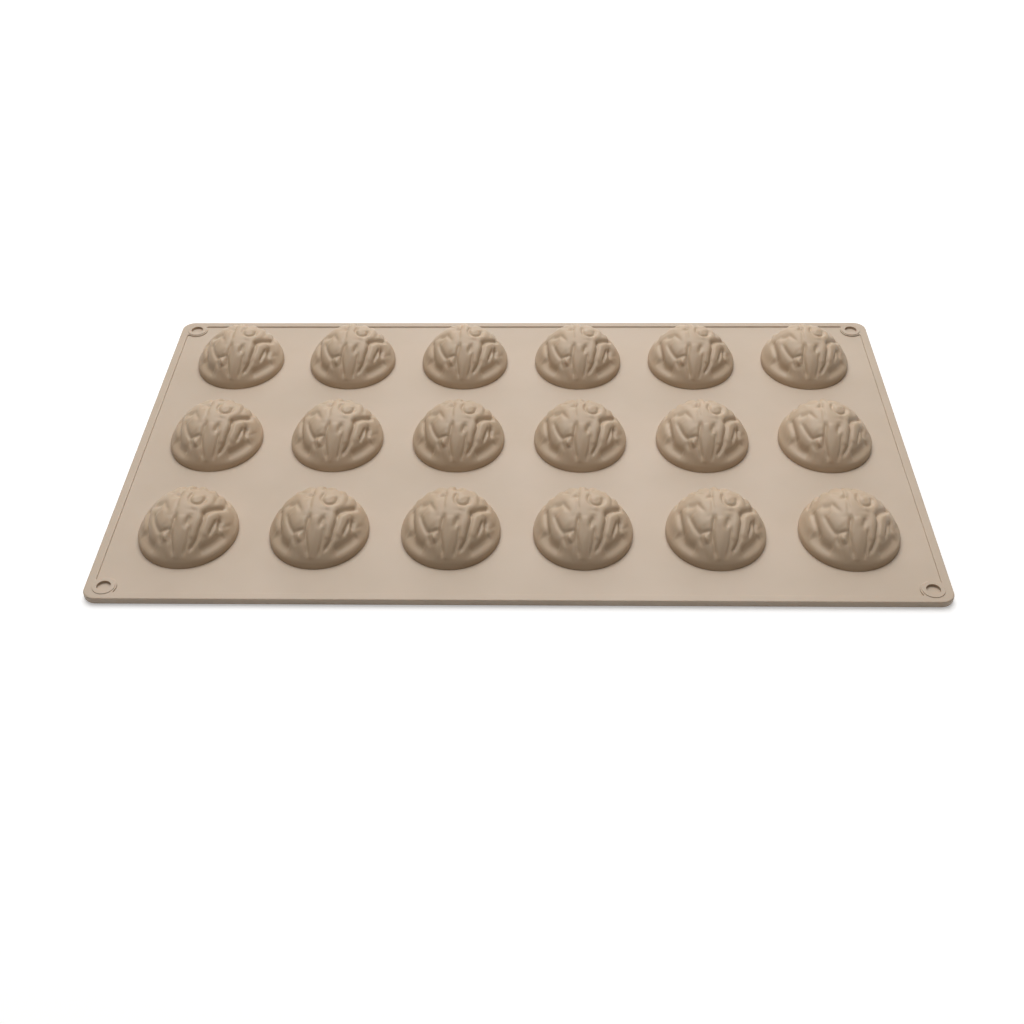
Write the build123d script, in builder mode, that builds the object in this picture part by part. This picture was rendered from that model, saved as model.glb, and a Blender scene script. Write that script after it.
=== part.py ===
"""Silicone walnut mould: one sheet with 18 half-walnut cups, lying cups up.

Units are millimetres. The origin is the middle of the underside, +X runs along
the sheet, +Y points to the back row and +Z is up.
"""

import math
import os

from build123d import *

# Sheet
SHEET_LENGTH = 300.0
SHEET_WIDTH = 175.0
CORNER_RADIUS = 5.0
WEB_THICKNESS = 2.3
EDGE_ROUND = 0.5
FOOT_ROUND = 0.8

# Raised border strip that stiffens the edge of the sheet
BORDER_WIDTH = 3.2
BORDER_RISE = 0.5

# Blind socket in each corner, in a round pad with a thin crown
SOCKET_DIAMETER = 5.0
SOCKET_DEPTH = 1.0
SOCKET_FROM_END = 6.8
SOCKET_FROM_SIDE = 6.2
PAD_RADIUS = 4.5
PAD_NECK_RADIUS = 0.5
PAD_CROWN_RADIUS = 4.0
PAD_CROWN_RISE = 0.25
PAD_CROWN_ROUND = 0.15
STEP_ROUND = 0.3

# Rows and columns of cups, evenly spaced between the outer ones
COLUMNS = 6
ROW_NAMES = ("front", "middle", "back")
OUTER_COLUMN_FROM_END = 30.75
FRONT_ROW_FROM_SIDE = 34.8
BACK_ROW_FROM_SIDE = 31.0

# Walnut cup, outside
CUP_WIDTH = 35.7
CUP_LENGTH = 38.6
CUP_HEIGHT = 13.7
CUP_WALL = 2.0
FOOT_ANGLE = 75.0
CROWN_LEAN = 3.0

# Rolled collar round the foot of each shell, and the band where folds run out, as
# shares of the way along the skin from the crown to the foot
COLLAR_RISE = 0.45
COLLAR_HALF_WIDTH = 1.4
COLLAR_PLACE = 0.935
FADE_START = 0.85
FADE_END = 0.96
INNER_RELIEF_SHARE = 0.4

# Moulded skin: a square net of points eased towards a round one, which reaches
# just past the foot of the shell
SKIN_POINTS = 29
SKIN_REACH = 1.03
CORNER_EASE = 0.9

# Slack for picking out edges and corners by their place
PICK_MARGIN = 0.01

COLUMN_PITCH = (SHEET_LENGTH - 2 * OUTER_COLUMN_FROM_END) / (COLUMNS - 1)
ROW_PITCH = (SHEET_WIDTH - FRONT_ROW_FROM_SIDE - BACK_ROW_FROM_SIDE) / (len(ROW_NAMES) - 1)
BORDER_TOP = WEB_THICKNESS + BORDER_RISE
OPENING_LENGTH = SHEET_LENGTH - 2 * BORDER_WIDTH
OPENING_WIDTH = SHEET_WIDTH - 2 * BORDER_WIDTH
PAD_TOP = BORDER_TOP + PAD_CROWN_RISE
CORNER_LENGTH = SOCKET_FROM_END + PAD_RADIUS + PAD_NECK_RADIUS
CORNER_WIDTH = SOCKET_FROM_SIDE + PAD_RADIUS + PAD_NECK_RADIUS

# Main folds of the walnut shell. Each has its rise (below zero for a groove), its
# half width, and the line that it follows, measured along the skin from the crown to
# the right and to the back, on a skin that is FOLD_MAP_WIDTH wide and FOLD_MAP_LENGTH
# long from crown to foot.
FOLD_MAP_WIDTH = 24.0
FOLD_MAP_LENGTH = 25.5
FOLDS = (
    # Seam over the crown
    (0.40, 2.13, ((0.3, 24.0), (0.2, 9.0), (-0.2, -2.0), (0.9, -11.0), (0.6, -14.5), (-0.7, -21.0))),
    # Bump beside the seam, and the ridge that rings it
    (0.36, 1.79, ((3.1, 0.4), (5.6, 3.4))),
    (0.36, 1.79, ((6.2, 11.0), (6.0, 8.6), (4.4, 6.4))),
    (0.40, 1.79, ((8.9, 8.0), (9.0, 4.0), (8.7, 0.8), (7.6, -1.9), (5.6, -3.5), (2.6, -3.6))),
    (-0.36, 1.57, ((2.0, 4.0), (1.8, 0.2), (4.4, -2.1), (7.1, 0.8), (7.1, 3.4))),
    # Long fold on the right of the seam
    (0.56, 1.90, ((6.6, -3.2), (5.8, -7.6), (5.1, -10.0), (4.7, -12.4), (4.9, -15.6))),
    # Deep notch on the right, and the crease that runs on from it to the foot
    (-0.96, 1.68, ((14.2, 2.4), (12.8, 0.4), (11.0, -1.5), (9.3, -3.4), (7.9, -5.0))),
    (-0.64, 1.57, ((7.9, -5.0), (7.6, -9.0), (6.9, -11.5), (6.6, -14.0), (5.7, -16.2), (4.2, -18.2))),
    # Right cheek
    (0.48, 2.02, ((12.6, -2.6), (10.8, -4.2), (9.4, -8.6), (8.7, -13.4))),
    (0.40, 1.79, ((8.6, -14.0), (7.9, -16.4), (6.4, -19.6))),
    (-0.72, 1.57, ((14.4, -4.2), (14.7, -7.2))),
    (-0.56, 1.57, ((12.8, -6.4), (11.3, -10.8))),
    (0.32, 1.90, ((18.0, 9.0), (18.2, 3.0), (17.6, -2.0), (17.2, -9.4))),
    (-0.48, 2.24, ((16.2, -11.8), (13.8, -14.0), (10.6, -16.6))),
    # Pits on both sides of the seam
    (-0.56, 1.57, ((3.2, -8.6), (2.2, -9.9))),
    (-0.56, 1.68, ((2.6, 9.4), (2.6, 8.0))),
    (-0.56, 1.57, ((-2.7, 2.6), (-1.9, 3.4))),
    (-0.48, 1.57, ((-2.6, -4.0), (-1.8, -8.4), (-3.1, -13.0), (-2.3, -18.8))),
    # Heart-shaped lobe and the knob under it, on the left
    (0.40, 1.90, ((-8.6, 7.0), (-5.9, 0.8), (-3.8, -4.4))),
    (0.52, 2.69, ((-9.4, -4.2), (-8.2, -6.4), (-5.4, -10.6))),
    (0.44, 1.57, ((-6.2, -13.9), (-4.7, -13.7))),
    (-0.48, 2.02, ((-9.6, -0.2), (-8.6, -1.2))),
    (-0.64, 1.57, ((-10.9, -5.2), (-10.1, -7.8), (-7.8, -12.2), (-7.6, -14.4))),
    # Left cheek
    (0.40, 1.90, ((-13.4, 1.0), (-12.1, -5.0), (-10.2, -11.6), (-9.2, -14.4))),
    (-0.56, 1.68, ((-15.8, 6.0), (-14.6, -3.0), (-14.2, -9.4))),
    (0.32, 2.02, ((-18.4, 9.0), (-18.6, 3.0), (-17.0, -6.6))),
    (-0.56, 2.24, ((-14.9, -11.4), (-13.6, -13.6), (-11.6, -15.6))),
    # Folds that fan out over the back of the shell
    (-0.48, 1.68, ((-7.6, 9.0), (-6.6, 15.0), (-4.4, 21.0))),
    (0.40, 1.90, ((-9.8, 9.0), (-8.8, 15.0), (-6.4, 20.5))),
    (-0.48, 1.68, ((-12.0, 9.0), (-11.0, 14.0), (-8.6, 19.0))),
    (0.40, 1.90, ((-14.2, 8.0), (-13.0, 13.0), (-10.6, 18.0))),
    (0.40, 1.90, ((4.6, 12.5), (4.2, 17.0), (3.0, 22.0))),
    (-0.48, 1.68, ((7.2, 11.0), (6.4, 16.0), (4.6, 21.5))),
    (0.40, 1.90, ((9.6, 11.0), (8.4, 16.0), (6.2, 21.5))),
    (-0.48, 1.68, ((11.6, 10.0), (10.6, 15.0), (8.4, 20.0))),
    (0.40, 1.90, ((13.6, 8.0), (12.8, 13.5), (10.2, 19.0))),
)


def distance_to_line(x, y, line):
    """Shortest distance from a point to a line of straight runs."""
    nearest = math.inf
    for (x1, y1), (x2, y2) in zip(line, line[1:]):
        run_x = x2 - x1
        run_y = y2 - y1
        along = ((x - x1) * run_x + (y - y1) * run_y) / (run_x**2 + run_y**2)
        along = min(max(along, 0.0), 1.0)
        nearest = min(nearest, math.hypot(x - x1 - along * run_x, y - y1 - along * run_y))
    return nearest


def fold_relief(reach, turn):
    """Height of the folds and the collar, at a share of the way to the foot."""
    x = FOLD_MAP_WIDTH * reach * math.cos(turn)
    y = FOLD_MAP_LENGTH * reach * math.sin(turn)
    relief = 0.0
    for rise, half_breadth, line in FOLDS:
        relief += rise * math.exp(-((distance_to_line(x, y, line) / half_breadth) ** 2))
    fade = min(max((FADE_END - reach) / (FADE_END - FADE_START), 0.0), 1.0)
    relief *= fade * fade * (3 - 2 * fade)
    collar_gap = (reach - COLLAR_PLACE) * FOLD_MAP_WIDTH / COLLAR_HALF_WIDTH
    return relief + COLLAR_RISE * math.exp(-(collar_gap**2))


def shell_skin(inset, relief_share):
    """Skin of a half walnut shell that stands on the web, set in by a distance."""
    half_width = CUP_WIDTH / 2 - inset
    half_length = CUP_LENGTH / 2 - inset
    height = CUP_HEIGHT - inset
    foot = math.radians(FOOT_ANGLE)
    crown = 1 - math.cos(foot)
    steps = [i / (SKIN_POINTS - 1) for i in range(SKIN_POINTS)]
    sections = []
    for along in steps:
        section = []
        for across in steps:
            u = 2 * across - 1
            v = 2 * along - 1
            eased_u = u * math.sqrt(1 - CORNER_EASE * v**2 / 2)
            eased_v = v * math.sqrt(1 - CORNER_EASE * u**2 / 2)
            reach = SKIN_REACH * math.hypot(eased_u, eased_v)
            angle = foot * reach
            turn = math.atan2(eased_v, eased_u)
            share = math.sin(angle) / math.sin(foot)
            rise = (math.cos(angle) - math.cos(foot)) / crown
            x = half_width * share * math.cos(turn)
            y = half_length * share * math.sin(turn)
            normal = Vector(x / half_width**2, y / half_length**2, math.cos(angle) / height).normalized()
            relief = relief_share * fold_relief(reach, turn) if rise > 0 else 0.0
            point = Vector(x, y + CROWN_LEAN * rise, WEB_THICKNESS + height * rise)
            section.append(point + normal * relief)
        sections.append(Wire(Edge.make_spline(section, parameters=steps)))
    return Shell.make_loft(sections).faces()[0]


def solid_under(skin):
    """Solid between the web's top face and a shell skin."""
    with BuildPart(Plane.XY.offset(WEB_THICKNESS)) as solid:
        Box(2 * CUP_WIDTH, 2 * CUP_LENGTH, 2 * CUP_HEIGHT, align=(Align.CENTER, Align.CENTER, Align.MIN))
        split(bisect_by=skin, keep=Keep.BOTTOM)
    return solid.part


def walnut_cup():
    """One cup, centred on the origin: shell relief outside and inside."""
    hollow = solid_under(shell_skin(CUP_WALL, INNER_RELIEF_SHARE))
    with BuildPart() as cup:
        add(solid_under(shell_skin(0, 1)))
        add(hollow, mode=Mode.SUBTRACT)
    return cup.part


def rim_opening():
    """Plan of the web: the sheet inside its border, less the four corner pads."""
    with BuildSketch(mode=Mode.PRIVATE) as opening:
        Rectangle(OPENING_LENGTH, OPENING_WIDTH)
        with GridLocations(SHEET_LENGTH - SOCKET_FROM_END, SHEET_WIDTH - SOCKET_FROM_SIDE, 2, 2):
            Rectangle(SOCKET_FROM_END, SOCKET_FROM_SIDE, mode=Mode.SUBTRACT)
        with GridLocations(SHEET_LENGTH - 2 * SOCKET_FROM_END, SHEET_WIDTH - 2 * SOCKET_FROM_SIDE, 2, 2):
            Circle(PAD_RADIUS, mode=Mode.SUBTRACT)
        necks = [
            corner
            for corner in opening.vertices()
            if abs(corner.X) > OPENING_LENGTH / 2 - PICK_MARGIN
            or abs(corner.Y) > OPENING_WIDTH / 2 - PICK_MARGIN
        ]
        fillet(necks, PAD_NECK_RADIUS)
    return opening.sketch


def raised_rim():
    """Border and corner pads in one, with rounded edges, before the crowns and sockets."""
    with BuildPart() as rim:
        with BuildSketch():
            RectangleRounded(SHEET_LENGTH, SHEET_WIDTH, CORNER_RADIUS)
        extrude(amount=BORDER_TOP)
        fillet(rim.edges().group_by(Axis.Z)[-1], EDGE_ROUND)
        fillet(rim.edges().group_by(Axis.Z)[0], FOOT_ROUND)
        extrude(rim_opening(), amount=BORDER_TOP, mode=Mode.SUBTRACT)
        inner_edges = [
            edge
            for edge in rim.edges().group_by(Axis.Z)[-1]
            if abs(edge.center().X) < OPENING_LENGTH / 2 + PICK_MARGIN
            and abs(edge.center().Y) < OPENING_WIDTH / 2 + PICK_MARGIN
        ]
        fillet(inner_edges, STEP_ROUND)
    return rim.part


def border_strip(rim, centre, length, width):
    """Straight run of the border, cut from the rim."""
    with BuildPart() as strip:
        add(rim)
        with Locations((centre[0], centre[1], BORDER_TOP / 2)):
            Box(length, width, BORDER_TOP, mode=Mode.INTERSECT)
    return strip.part


def corner_pad(rim, side_x, side_y):
    """Corner of the rim with its round pad, the pad's crown and its blind socket."""
    centre_x = side_x * (SHEET_LENGTH - CORNER_LENGTH) / 2
    centre_y = side_y * (SHEET_WIDTH - CORNER_WIDTH) / 2
    socket_x = side_x * (SHEET_LENGTH / 2 - SOCKET_FROM_END)
    socket_y = side_y * (SHEET_WIDTH / 2 - SOCKET_FROM_SIDE)
    with BuildPart() as pad:
        add(rim)
        with Locations((centre_x, centre_y, BORDER_TOP / 2)):
            Box(CORNER_LENGTH, CORNER_WIDTH, BORDER_TOP, mode=Mode.INTERSECT)
        with Locations((socket_x, socket_y, BORDER_TOP)):
            Cylinder(PAD_CROWN_RADIUS, PAD_CROWN_RISE, align=(Align.CENTER, Align.CENTER, Align.MIN))
        fillet(pad.faces().sort_by(Axis.Z)[-1].edges(), PAD_CROWN_ROUND)
        with Locations((socket_x, socket_y, PAD_TOP)):
            Hole(SOCKET_DIAMETER / 2, depth=SOCKET_DEPTH)
    return pad.part


def row_centre(row):
    """Y of the middle of one row of cups."""
    return FRONT_ROW_FROM_SIDE - SHEET_WIDTH / 2 + row * ROW_PITCH


def column_centre(column):
    """X of the middle of one column of cups."""
    return OUTER_COLUMN_FROM_END - SHEET_LENGTH / 2 + column * COLUMN_PITCH


def web_row(row):
    """Flat web round one row of cups, with the six mouths through it."""
    low = -SHEET_WIDTH / 2 if row == 0 else row_centre(row) - ROW_PITCH / 2
    high = SHEET_WIDTH / 2 if row == len(ROW_NAMES) - 1 else row_centre(row) + ROW_PITCH / 2
    with BuildPart() as web:
        with BuildSketch():
            add(rim_opening())
            with Locations((0, (low + high) / 2)):
                Rectangle(SHEET_LENGTH, high - low, mode=Mode.INTERSECT)
            with Locations(*[(column_centre(column), row_centre(row)) for column in range(COLUMNS)]):
                Ellipse(CUP_WIDTH / 2 - CUP_WALL, CUP_LENGTH / 2 - CUP_WALL, mode=Mode.SUBTRACT)
        extrude(amount=WEB_THICKNESS)
    return web.part


def save(piece, name):
    """Label a finished piece and write its file."""
    piece.label = name
    export_step(piece, f"parts/{name}.step")


def main():
    os.makedirs("parts", exist_ok=True)
    for row, row_name in enumerate(ROW_NAMES):
        save(web_row(row), f"web_{row_name}_row")

    rim = raised_rim()
    end_x = (SHEET_LENGTH - BORDER_WIDTH) / 2
    side_y = (SHEET_WIDTH - BORDER_WIDTH) / 2
    long_run = SHEET_LENGTH - 2 * CORNER_LENGTH
    short_run = SHEET_WIDTH - 2 * CORNER_WIDTH
    save(border_strip(rim, (-end_x, 0), BORDER_WIDTH, short_run), "border_left")
    save(border_strip(rim, (end_x, 0), BORDER_WIDTH, short_run), "border_right")
    save(border_strip(rim, (0, -side_y), long_run, BORDER_WIDTH), "border_front")
    save(border_strip(rim, (0, side_y), long_run, BORDER_WIDTH), "border_back")

    for y_sign, y_name in ((-1, "front"), (1, "back")):
        for x_sign, x_name in ((-1, "left"), (1, "right")):
            save(corner_pad(rim, x_sign, y_sign), f"corner_pad_{y_name}_{x_name}")

    cup = walnut_cup()
    for row, row_name in enumerate(ROW_NAMES):
        for column in range(COLUMNS):
            with BuildPart() as placed:
                with Locations((column_centre(column), row_centre(row), 0)):
                    add(cup)
            save(placed.part, f"walnut_cup_{row_name}_{column + 1}")


main()
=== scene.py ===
"""Visual model of the silicone walnut mould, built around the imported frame.

Lengths are in millimetres, or in metres where a comment says so, and angles are in
radians, apart from the foot angle, which is in degrees. The origin is the middle
of the underside, +X runs along the sheet, +Y points to the back row and +Z is up.
"""

import math

import bpy
import numpy as np
from mathutils import Matrix, Vector


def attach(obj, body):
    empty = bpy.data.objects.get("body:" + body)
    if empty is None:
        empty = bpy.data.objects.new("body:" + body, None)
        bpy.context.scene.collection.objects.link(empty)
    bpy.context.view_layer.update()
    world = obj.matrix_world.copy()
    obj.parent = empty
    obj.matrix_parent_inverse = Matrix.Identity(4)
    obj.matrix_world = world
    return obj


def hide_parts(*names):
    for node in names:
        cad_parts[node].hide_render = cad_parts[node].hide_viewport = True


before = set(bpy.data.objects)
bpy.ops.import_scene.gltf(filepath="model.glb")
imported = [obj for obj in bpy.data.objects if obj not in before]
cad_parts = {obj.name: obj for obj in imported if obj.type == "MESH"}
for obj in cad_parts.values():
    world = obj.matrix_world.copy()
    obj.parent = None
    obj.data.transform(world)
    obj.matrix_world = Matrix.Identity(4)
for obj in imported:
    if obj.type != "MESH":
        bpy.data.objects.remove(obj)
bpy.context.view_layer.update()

MM = 0.001

# Sheet and grid of cups
WEB_THICKNESS = 2.3
COLUMNS = 6
ROW_NAMES = ("front", "middle", "back")
COLUMN_PITCH = 47.7
ROW_PLACES = (-52.7, 1.9, 56.5)

# Walnut cup
CUP_WIDTH = 35.7
CUP_LENGTH = 38.6
CUP_HEIGHT = 13.7
CUP_WALL = 2.0
FOOT_ANGLE = 75.0
CROWN_LEAN = 3.0
INNER_RELIEF_SHARE = 0.8
SPOKES = 280
OUTER_RINGS = 100
INNER_RINGS = 40

# Relief of the shell: way along the skin from the crown to the foot, level of the
# ground between the folds, and softness where folds meet
SKIN_REACH_X = 24.0
SKIN_REACH_Y = 25.5
GROUND = -0.35
BLEND = 0.80
# Fold: width of its foot in half widths, its start below the ground, its taper at
# both ends, and how often and how far the corners of its line are cut
FOLD_SPREAD = 1.5
FOLD_SINK = 0.1
TAPER_RUN = 1.6
END_SHARE = 0.40
CORNER_CUTS = 2
CORNER_CUT = 0.25
# Rolled collar round the foot, lower in the middle of the front
COLLAR_RISE = 0.62
COLLAR_HALF_WIDTH = 1.5
COLLAR_REACH = 0.925
COLLAR_FRONT_SHARE = 0.35
COLLAR_FRONT_SPREAD = 0.45
FRONT_TURN = 1.5 * math.pi
# Shares of the way to the foot: the stretch where the collar ends, and the band
# where the folds run out
FOOT_SHARE = 0.02
FADE_START = 0.84
FADE_END = 0.95

# Camera, fitted to the grid of cups and the corners of the sheet, whose size was
# assumed
CAMERA_PLACE = (9.50, -409.65, 319.21)
CAMERA_PITCH = 0.7092
CAMERA_TURN = -0.0312
CAMERA_ROLL = 0.0174
FOCAL_SHARE = 1319.7 / 1024
SENSOR_WIDTH = 36.0

# Silicone: display colours, mottling, moulded grain, finish, and the light under the
# skin; the grain's height and the scale of that light are in metres
SHEET_DARK = (193, 175, 155)
SHEET_LIGHT = (200, 182, 163)
# The shells' colours are a darker, warmer copy of the sheet's silicone: painted shade and warm light from
# under the skin, not a different colour
SHELL_SHADE_DARK = (191, 168, 142)
SHELL_SHADE_LIGHT = (199, 177, 152)
MOTTLE_SCALE = 30
MOTTLE_DETAIL = 3
MOTTLE_START = 0.3
MOTTLE_END = 0.7
GRAIN_SCALE = 2500
GRAIN_DETAIL = 2
GRAIN_STRENGTH = 0.15
GRAIN_HEIGHT = 0.00005
ROUGHNESS = 0.5
SPECULAR_LEVEL = 0.4
UNDER_SKIN_WEIGHT = 0.2
UNDER_SKIN_RADIUS = (1.0, 0.6, 0.4)
UNDER_SKIN_SCALE = 0.001

# Floor, in metres: half its side, its paint, and its glow near the object and far
FLOOR_HALF = 6.0
FLOOR_PAINT = (0.8, 0.8, 0.8, 1)
GLOW_NEAR_DISTANCE = 0.5
GLOW_FAR_DISTANCE = 1.5
GLOW_NEAR = 0.38
GLOW_FAR = 1.0

# Surroundings: strength and colour as light, and as the camera sees them
WORLD_LIGHT = 0.13
WORLD_SEEN = 1.0
WORLD_LIGHT_COLOUR = (1.0, 0.92, 0.84, 1)
WORLD_SEEN_COLOUR = (1.0, 1.0, 1.0, 1)

# Lamps: name, place, point that the lamp faces, size in metres, power in watts
LAMPS = (
    ("key", (-0.02, 0.58, 1.38), (0.35, 0.0, 0.0), 1.3, 22.2),
    ("rim", (0.10, 1.70, 0.75), (0.0, 0.0, 0.0), 1.2, 7.0),
)

# Folds of the walnut shell: height, half width and the line that the fold follows.
# Lines are measured along the skin from the crown, to the right and to the back.
LOBES = (
    # Seam over the crown
    (0.60, 1.8, ((0.3, 24.0), (0.4, 16.0), (0.2, 9.0), (0.0, 3.5), (-0.2, -2.0), (0.0, -7.0), (0.9, -11.0))),
    (0.85, 2.1, ((0.2, -7.0), (1.2, -11.5), (0.6, -14.5), (-0.4, -17.5), (-0.8, -22.5))),
    # Bump beside the seam, and the ridge that rings it
    (0.85, 1.5, ((2.7, -0.7), (4.4, 1.5), (6.2, 3.6))),
    (0.55, 1.5, ((6.2, 11.0), (6.0, 8.6), (4.4, 6.4), (2.4, 5.6))),
    (0.80, 1.4, ((9.4, 8.0), (9.5, 4.0), (9.2, 0.8), (8.0, -1.7), (5.8, -3.4), (2.6, -3.6))),
    # Long fold on the right of the seam
    (0.95, 1.5, ((7.2, -2.8), (6.8, -5.4), (6.4, -7.6), (5.8, -10.0), (5.4, -12.4), (5.1, -15.4))),
    (0.50, 1.3, ((2.0, -6.2), (4.2, -6.4))),
    # Right cheek
    (0.85, 2.2, ((13.6, -1.4), (11.8, -3.2), (10.6, -5.4), (10.2, -7.8), (10.0, -10.4), (9.8, -13.4))),
    (0.55, 1.5, ((12.6, -3.6), (13.0, -6.0), (13.4, -9.0), (13.2, -11.4))),
    (0.60, 1.6, ((9.2, -13.6), (8.5, -16.4), (7.0, -20.2))),
    (0.50, 1.9, ((12.2, 9.0), (12.0, 5.0), (11.8, 3.6))),
    (0.60, 2.1, ((18.0, 9.0), (18.2, 3.0), (17.6, -2.0), (17.2, -6.0), (17.4, -9.4))),
    # Left of the seam
    (0.45, 1.8, ((-3.6, 8.0), (-2.2, 5.6), (-0.6, 5.0))),
    (0.50, 1.8, ((-3.4, 0.0), (-1.6, -1.0), (-1.4, -4.0))),
    (0.60, 1.6, ((-8.6, 7.0), (-7.2, 3.6), (-5.9, 0.8), (-4.7, -2.0), (-3.8, -4.4), (-3.6, -7.0))),
    (0.95, 2.6, ((-9.0, -4.0), (-8.0, -6.4), (-6.6, -8.6), (-5.4, -10.6))),
    (0.60, 1.6, ((-8.4, -2.6), (-7.4, -4.2), (-6.0, -6.4))),
    (1.75, 1.4, ((-6.4, -14.6), (-4.4, -14.2))),
    (0.60, 1.3, ((-8.2, -16.6), (-6.6, -17.0))),
    (0.55, 1.4, ((-5.4, -16.2), (-4.6, -18.6), (-3.8, -21.4))),
    (0.60, 1.6, ((-4.2, -7.0), (-4.4, -9.5), (-4.3, -12.0))),
    # Left cheek
    (0.65, 2.0, ((-12.9, 1.0), (-12.6, -2.0), (-12.2, -5.0), (-11.4, -8.6), (-10.2, -11.6), (-9.0, -14.6))),
    (0.45, 1.9, ((-11.2, 7.0), (-10.8, 3.4), (-10.4, 1.2))),
    (0.60, 2.1, ((-18.2, 9.0), (-18.4, 3.0), (-17.8, -2.6), (-17.4, -6.6), (-17.3, -9.4))),
    # Folds that fan out over the back
    (0.60, 1.7, ((-5.6, 11.0), (-4.4, 16.0), (-2.4, 22.0))),
    (0.60, 1.7, ((-9.8, 10.5), (-8.8, 15.0), (-6.4, 20.5))),
    (0.60, 1.7, ((-14.0, 8.0), (-13.0, 13.0), (-10.4, 18.5))),
    (0.60, 1.6, ((-17.4, 10.0), (-16.6, 13.0), (-14.0, 16.6))),
    (0.60, 1.7, ((9.6, 11.0), (8.4, 16.0), (6.2, 21.5))),
    (0.60, 1.7, ((4.6, 12.5), (4.2, 17.0), (3.0, 22.0))),
    (0.60, 1.7, ((13.6, 8.0), (12.8, 13.5), (10.2, 19.0))),
    (0.60, 1.6, ((17.2, 11.0), (16.2, 14.0), (13.8, 17.0))),
)
# Creases between the folds: depth, half width and line
CREASES = (
    # Deep notch on the right, and the crease that runs on from it to the foot
    (1.10, 1.05, ((15.0, 3.2), (13.2, 0.7), (11.4, -1.3), (9.6, -3.3), (7.7, -5.4))),
    (0.30, 0.80, ((14.8, 9.0), (15.0, 5.0), (14.6, 2.4))),
    (0.85, 0.75, (
        (8.2, -4.4), (8.4, -7.0), (8.2, -9.0), (7.6, -11.5), (7.4, -14.0), (6.5, -16.2), (4.8, -18.8),
    )),
    # Right cheek
    (1.20, 1.05, ((14.6, -3.6), (14.7, -5.6), (14.8, -8.0))),
    (0.80, 0.70, ((12.9, -5.4), (12.3, -8.6), (11.4, -12.0))),
    (0.20, 0.80, ((19.0, -2.4), (17.0, -5.4), (15.9, -7.0))),
    # Round the bump
    (0.65, 0.70, (
        (2.4, 4.0), (1.8, 2.0), (1.7, 0.0), (2.6, -1.6), (4.3, -2.3), (6.0, -1.5), (7.1, 0.4), (7.2, 3.0),
    )),
    (0.95, 1.30, ((2.6, 12.6), (2.7, 7.2))),
    (0.20, 0.80, ((10.9, 9.0), (10.9, 5.0), (10.8, 2.0))),
    # Beside the seam
    (0.30, 0.65, ((-1.8, 15.0), (-1.7, 8.0), (-2.0, 1.0), (-2.0, -4.0))),
    (0.30, 0.65, ((2.2, 17.0), (1.8, 11.0), (1.2, 6.0))),
    (0.75, 0.95, ((3.6, -7.2), (2.2, -10.8))),
    (0.55, 0.65, ((4.1, -11.2), (3.8, -14.0), (3.5, -16.4), (2.5, -20.4))),
    (0.12, 0.70, ((1.6, -4.9), (4.6, -4.9))),
    (0.15, 0.80, ((-2.6, -4.0), (-2.3, -6.4), (-1.9, -8.4))),
    (0.75, 0.75, ((-1.7, -7.0), (-2.5, -10.4), (-3.0, -13.0), (-2.9, -15.6), (-2.2, -20.2))),
    (0.85, 1.10, ((-3.4, 1.4), (-1.8, 3.4))),
    # Left
    (0.65, 1.50, ((-11.4, 0.6), (-7.8, -1.0))),
    (0.30, 0.75, ((-7.3, 0.2), (-6.4, -2.4), (-5.3, -4.6))),
    (0.20, 0.70, ((-6.9, 6.6), (-5.0, 4.6))),
    (0.50, 0.85, ((-10.9, -4.2), (-10.2, -7.4), (-9.0, -10.6), (-7.6, -12.6))),
    (0.85, 1.20, ((-14.8, 1.6), (-14.7, -3.0), (-14.6, -6.4), (-14.6, -10.6))),
    (0.45, 0.70, ((-3.3, -12.6), (-3.6, -16.0))),
    (0.45, 0.65, ((-7.4, -12.2), (-3.8, -12.0))),
    (0.45, 0.75, ((-8.0, -13.0), (-7.4, -16.0))),
    # Between the folds of the back
    (0.50, 0.80, ((-2.3, 10.5), (-2.4, 15.5), (-1.4, 21.5))),
    (0.60, 0.85, ((-7.6, 9.5), (-6.6, 15.0), (-4.4, 21.0))),
    (0.60, 0.85, ((-12.0, 8.0), (-11.0, 13.5), (-8.4, 19.2))),
    (0.60, 0.85, ((-16.2, 6.0), (-15.2, 11.5), (-12.4, 17.2))),
    (0.50, 0.80, ((2.4, 13.0), (2.0, 21.5))),
    (0.60, 0.85, ((7.2, 9.5), (6.4, 15.0), (4.6, 21.0))),
    (0.60, 0.85, ((11.6, 8.5), (10.8, 14.0), (8.2, 19.6))),
    (0.60, 0.85, ((16.0, 8.0), (14.8, 12.5), (12.0, 17.6))),
)
# Wide hollows inside the collar: depth, half width and line
HOLLOWS = (
    (0.90, 1.8, ((-17.0, -7.6), (-15.4, -11.4), (-13.6, -14.2), (-10.4, -17.2))),
    (0.90, 1.8, ((17.4, -8.4), (15.0, -12.4), (12.4, -15.4), (8.8, -18.4))),
)


def dome(angle, turn, inset):
    """Points and normals of the smooth dome, for arrays of angles."""
    half_width = CUP_WIDTH / 2 - inset
    half_length = CUP_LENGTH / 2 - inset
    height = CUP_HEIGHT - inset
    foot = math.radians(FOOT_ANGLE)
    share = np.sin(angle) / math.sin(foot)
    rise = (np.cos(angle) - math.cos(foot)) / (1 - math.cos(foot))
    x = half_width * share * np.cos(turn)
    y = half_length * share * np.sin(turn)
    normal = np.stack([x / half_width**2, y / half_length**2, np.cos(angle) / height], -1)
    normal /= np.linalg.norm(normal, axis=-1, keepdims=True)
    points = np.stack([x, y + CROWN_LEAN * rise, WEB_THICKNESS + height * rise], -1)
    return points, normal


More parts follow.
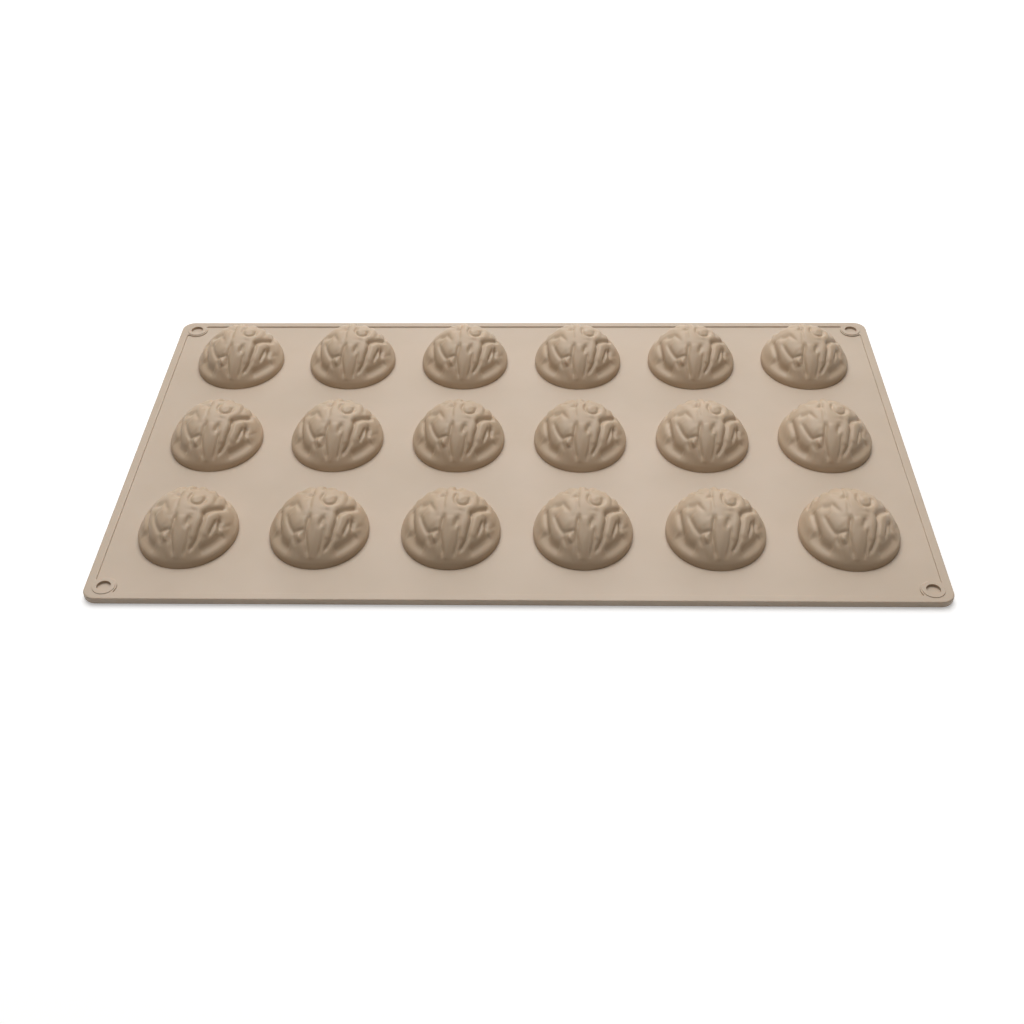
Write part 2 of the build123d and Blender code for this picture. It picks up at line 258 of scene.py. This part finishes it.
def distance_to_line(x, y, line):
    """Distance from each point to a line of straight runs.

    The second value is how far the nearest point of the line lies from the line's
    ends.
    """
    nearest = np.full(x.shape, np.inf)
    place = np.zeros(x.shape)
    length = sum(math.dist(first, second) for first, second in zip(line, line[1:]))
    passed = 0.0
    for (x1, y1), (x2, y2) in zip(line, line[1:]):
        run_x = x2 - x1
        run_y = y2 - y1
        run = math.hypot(run_x, run_y)
        along = np.clip(((x - x1) * run_x + (y - y1) * run_y) / run**2, 0, 1)
        gap = np.hypot(x - x1 - along * run_x, y - y1 - along * run_y)
        place = np.where(gap < nearest, passed + along * run, place)
        nearest = np.minimum(nearest, gap)
        passed += run
    return nearest, np.minimum(place, length - place)


def smooth_line(line):
    """Line with its corners cut off."""
    line = np.array(line, float)
    for _ in range(CORNER_CUTS):
        if len(line) < 3:
            break
        near = (1 - CORNER_CUT) * line[:-1] + CORNER_CUT * line[1:]
        far = CORNER_CUT * line[:-1] + (1 - CORNER_CUT) * line[1:]
        middle = np.stack([near, far], 1).reshape(-1, 2)
        line = np.concatenate([line[:1], middle[1:-1], line[-1:]])
    return line


def taper(from_end):
    """Share of a fold's height at a distance from its ends."""
    share = np.clip(from_end / TAPER_RUN, 0, 1)
    return END_SHARE + (1 - END_SHARE) * share * (2 - share)


def soft_max(first, second):
    """Larger of two fields, rounded off where they meet."""
    share = np.clip(0.5 + 0.5 * (first - second) / BLEND, 0, 1)
    return second * (1 - share) + first * share + BLEND * share * (1 - share)


def shell_relief(reach, turn):
    """Height of the folds and the collar above the smooth dome."""
    x = SKIN_REACH_X * reach * np.cos(turn)
    y = SKIN_REACH_Y * reach * np.sin(turn)
    relief = np.full(x.shape, GROUND)
    for height, half_width, line in LOBES:
        gap, from_end = distance_to_line(x, y, smooth_line(line))
        swell = np.clip(1 - (gap / (FOLD_SPREAD * half_width)) ** 2, 0, 1) * taper(from_end)
        relief = soft_max(GROUND - FOLD_SINK + (height + FOLD_SINK) * swell, relief)
    for depth, half_width, line in CREASES + HOLLOWS:
        gap, from_end = distance_to_line(x, y, smooth_line(line))
        relief = relief - depth * np.exp(-((gap / half_width) ** 2)) * taper(from_end)
    fade = np.clip((FADE_END - reach) / (FADE_END - FADE_START), 0, 1)
    collar = COLLAR_RISE * np.exp(-(((reach - COLLAR_REACH) * SKIN_REACH_X / COLLAR_HALF_WIDTH) ** 2))
    from_front = np.abs((turn - FRONT_TURN + math.pi) % (2 * math.pi) - math.pi)
    collar = collar * (1 - (1 - COLLAR_FRONT_SHARE) * np.exp(-((from_front / COLLAR_FRONT_SPREAD) ** 2)))
    foot = np.clip((1 - reach) / FOOT_SHARE, 0, 1)
    return relief * fade * fade * (3 - 2 * fade) + collar * foot


def shell_skin(rings, inset, relief_share):
    """Rings of points from the crown to the foot; the first ring is one point."""
    foot = math.radians(FOOT_ANGLE)
    reach = np.linspace(1 / rings, 1, rings)[:, None] * np.ones((1, SPOKES))
    turn = np.linspace(0, 2 * math.pi, SPOKES, endpoint=False)[None, :] * np.ones((rings, 1))
    points, normal = dome(foot * reach, turn, inset)
    points = points + normal * relief_share * shell_relief(reach, turn)[..., None]
    crown, crown_normal = dome(np.zeros(1), np.zeros(1), inset)
    crown = crown + crown_normal * relief_share * shell_relief(np.zeros(1), np.zeros(1))[:, None]
    return np.concatenate([crown, points.reshape(-1, 3)])


def skin_faces(rings, first, flip):
    """Faces of one skin whose points start at an index."""
    spoke = np.arange(SPOKES)
    after = (spoke + 1) % SPOKES
    fan = [(first, first + 1 + a, first + 1 + b) for a, b in zip(spoke, after)]
    quads = []
    for ring in range(rings - 1):
        inner = first + 1 + ring * SPOKES
        outer = inner + SPOKES
        quads += [(inner + a, outer + a, outer + b, inner + b) for a, b in zip(spoke, after)]
    faces = fan + quads
    return [face[::-1] for face in faces] if flip else faces


def shell_mesh():
    """Points and faces of one closed cup shell, centred on its foot."""
    outer = shell_skin(OUTER_RINGS, 0, 1)
    inner = shell_skin(INNER_RINGS, CUP_WALL, INNER_RELIEF_SHARE)
    faces = skin_faces(OUTER_RINGS, 0, False) + skin_faces(INNER_RINGS, len(outer), True)
    outer_foot = len(outer) - SPOKES
    inner_foot = len(outer) + len(inner) - SPOKES
    for a in range(SPOKES):
        b = (a + 1) % SPOKES
        faces.append((outer_foot + a, inner_foot + a, inner_foot + b, outer_foot + b))
    return np.concatenate([outer, inner]), faces


def new_piece(name, points, faces, material, *nodes):
    """Object of one mesh that stands for CAD nodes."""
    mesh = bpy.data.meshes.new(name)
    mesh.from_pydata((points * MM).tolist(), [], faces)
    mesh.shade_smooth()
    mesh.materials.append(material)
    piece = bpy.data.objects.new(name, mesh)
    bpy.context.scene.collection.objects.link(piece)
    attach(piece, "root")
    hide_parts(*nodes)
    return piece


def silicone(name, dark, light):
    """Satin tan silicone with faint mottling and a fine moulded grain."""
    material = bpy.data.materials.new(name)
    material.use_nodes = True
    tree = material.node_tree
    shader = tree.nodes["Principled BSDF"]
    place = tree.nodes.new("ShaderNodeTexCoord")
    cloud = tree.nodes.new("ShaderNodeTexNoise")
    cloud.inputs["Scale"].default_value = MOTTLE_SCALE
    cloud.inputs["Detail"].default_value = MOTTLE_DETAIL
    tree.links.new(place.outputs["Object"], cloud.inputs["Vector"])
    tone = tree.nodes.new("ShaderNodeValToRGB")
    tone.color_ramp.elements[0].position = MOTTLE_START
    tone.color_ramp.elements[1].position = MOTTLE_END
    tone.color_ramp.elements[0].color = (*dark, 1)
    tone.color_ramp.elements[1].color = (*light, 1)
    tree.links.new(cloud.outputs["Fac"], tone.inputs["Fac"])
    tree.links.new(tone.outputs["Color"], shader.inputs["Base Color"])
    grain = tree.nodes.new("ShaderNodeTexNoise")
    grain.inputs["Scale"].default_value = GRAIN_SCALE
    grain.inputs["Detail"].default_value = GRAIN_DETAIL
    tree.links.new(place.outputs["Object"], grain.inputs["Vector"])
    bump = tree.nodes.new("ShaderNodeBump")
    bump.inputs["Strength"].default_value = GRAIN_STRENGTH
    bump.inputs["Distance"].default_value = GRAIN_HEIGHT
    tree.links.new(grain.outputs["Fac"], bump.inputs["Height"])
    tree.links.new(bump.outputs["Normal"], shader.inputs["Normal"])
    shader.inputs["Roughness"].default_value = ROUGHNESS
    shader.inputs["Specular IOR Level"].default_value = SPECULAR_LEVEL
    shader.inputs["Subsurface Weight"].default_value = UNDER_SKIN_WEIGHT
    shader.inputs["Subsurface Radius"].default_value = UNDER_SKIN_RADIUS
    shader.inputs["Subsurface Scale"].default_value = UNDER_SKIN_SCALE
    return material


def linear(display_colour):
    """Linear colour of an 8-bit display colour, by the standard sRGB curve."""
    shares = [value / 255 for value in display_colour]
    return tuple(share / 12.92 if share <= 0.04045 else ((share + 0.055) / 1.055) ** 2.4 for share in shares)


def add_camera():
    """Camera at the photograph's viewing angle."""
    ahead = Vector((
        math.sin(CAMERA_TURN) * math.cos(CAMERA_PITCH),
        math.cos(CAMERA_TURN) * math.cos(CAMERA_PITCH),
        -math.sin(CAMERA_PITCH),
    ))
    level = Vector((math.cos(CAMERA_TURN), -math.sin(CAMERA_TURN), 0))
    down = ahead.cross(level)
    right = math.cos(CAMERA_ROLL) * level + math.sin(CAMERA_ROLL) * down
    up = math.sin(CAMERA_ROLL) * level - math.cos(CAMERA_ROLL) * down
    data = bpy.data.cameras.new("camera")
    data.sensor_width = SENSOR_WIDTH
    data.lens = SENSOR_WIDTH * FOCAL_SHARE
    camera = bpy.data.objects.new("camera", data)
    turn = Matrix((right, up, -ahead)).transposed().to_4x4()
    camera.matrix_world = Matrix.Translation(Vector(CAMERA_PLACE) * MM) @ turn
    bpy.context.scene.collection.objects.link(camera)
    bpy.context.scene.camera = camera


def add_lamp(name, place, target, size, power):
    """Square soft lamp that faces a point."""
    data = bpy.data.lights.new(name, "AREA")
    data.size = size
    data.energy = power
    lamp = bpy.data.objects.new(name, data)
    lamp.location = place
    lamp.rotation_euler = (Vector(place) - Vector(target)).to_track_quat("Z", "Y").to_euler()
    bpy.context.scene.collection.objects.link(lamp)


def add_floor():
    """Large pale floor that keeps the object's shadow.

    Where the camera or a reflection sees it, it also glows, more so further out.
    """
    mesh = bpy.data.meshes.new("floor")
    half = FLOOR_HALF
    corners = [(-half, -half, 0), (half, -half, 0), (half, half, 0), (-half, half, 0)]
    mesh.from_pydata(corners, [], [(0, 1, 2, 3)])
    material = bpy.data.materials.new("white_floor")
    material.use_nodes = True
    tree = material.node_tree
    tree.nodes.clear()
    paint = tree.nodes.new("ShaderNodeBsdfDiffuse")
    paint.inputs["Color"].default_value = FLOOR_PAINT
    glow = tree.nodes.new("ShaderNodeEmission")
    path = tree.nodes.new("ShaderNodeLightPath")
    seen = tree.nodes.new("ShaderNodeMath")
    seen.operation = "MAXIMUM"
    level = tree.nodes.new("ShaderNodeMath")
    level.operation = "MULTIPLY"
    place = tree.nodes.new("ShaderNodeTexCoord")
    away = tree.nodes.new("ShaderNodeVectorMath")
    away.operation = "LENGTH"
    rise = tree.nodes.new("ShaderNodeMapRange")
    rise.inputs["From Min"].default_value = GLOW_NEAR_DISTANCE
    rise.inputs["From Max"].default_value = GLOW_FAR_DISTANCE
    rise.inputs["To Min"].default_value = GLOW_NEAR
    rise.inputs["To Max"].default_value = GLOW_FAR
    both = tree.nodes.new("ShaderNodeAddShader")
    out = tree.nodes.new("ShaderNodeOutputMaterial")
    tree.links.new(path.outputs["Is Camera Ray"], seen.inputs[0])
    tree.links.new(path.outputs["Is Glossy Ray"], seen.inputs[1])
    tree.links.new(place.outputs["Object"], away.inputs[0])
    tree.links.new(away.outputs["Value"], rise.inputs["Value"])
    tree.links.new(seen.outputs[0], level.inputs[0])
    tree.links.new(rise.outputs["Result"], level.inputs[1])
    tree.links.new(level.outputs[0], glow.inputs["Strength"])
    tree.links.new(paint.outputs[0], both.inputs[0])
    tree.links.new(glow.outputs[0], both.inputs[1])
    tree.links.new(both.outputs[0], out.inputs["Surface"])
    mesh.materials.append(material)
    floor = bpy.data.objects.new("floor", mesh)
    bpy.context.scene.collection.objects.link(floor)


def add_world():
    """Even surroundings that light the object warmly, plain white where the camera sees them."""
    world = bpy.data.worlds.new("studio")
    bpy.context.scene.world = world
    world.use_nodes = True
    tree = world.node_tree
    back = tree.nodes["Background"]
    path = tree.nodes.new("ShaderNodeLightPath")
    seen = tree.nodes.new("ShaderNodeMath")
    seen.operation = "MAXIMUM"
    level = tree.nodes.new("ShaderNodeMapRange")
    level.inputs["To Min"].default_value = WORLD_LIGHT
    level.inputs["To Max"].default_value = WORLD_SEEN
    tree.links.new(path.outputs["Is Camera Ray"], seen.inputs[0])
    tree.links.new(path.outputs["Is Transmission Ray"], seen.inputs[1])
    tree.links.new(seen.outputs[0], level.inputs["Value"])
    tree.links.new(level.outputs["Result"], back.inputs["Strength"])
    tint = tree.nodes.new("ShaderNodeMix")
    tint.data_type = "RGBA"
    tint.inputs["A"].default_value = WORLD_LIGHT_COLOUR
    tint.inputs["B"].default_value = WORLD_SEEN_COLOUR
    tree.links.new(seen.outputs[0], tint.inputs["Factor"])
    tree.links.new(tint.outputs["Result"], back.inputs["Color"])


sheet_silicone = silicone("sheet_silicone", linear(SHEET_DARK), linear(SHEET_LIGHT))
# The cups get the darker, warmer copy of the silicone, a painted shade
shaded_shell_silicone = silicone("shaded_shell_silicone", linear(SHELL_SHADE_DARK), linear(SHELL_SHADE_LIGHT))
points, faces = shell_mesh()
for row_name, row_place in zip(ROW_NAMES, ROW_PLACES):
    for column in range(COLUMNS):
        offset = np.array([(column - (COLUMNS - 1) / 2) * COLUMN_PITCH, row_place, 0])
        name = f"{row_name}_{column + 1}"
        new_piece(f"walnut_shell_{name}", points + offset, faces, shaded_shell_silicone, f"walnut_cup_{name}")

for name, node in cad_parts.items():
    if not name.startswith("walnut_cup"):
        node.data.materials.clear()
        node.data.materials.append(sheet_silicone)

add_camera()
add_floor()
add_world()
for lamp in LAMPS:
    add_lamp(*lamp)
bpy.context.scene.view_settings.view_transform = "Standard"
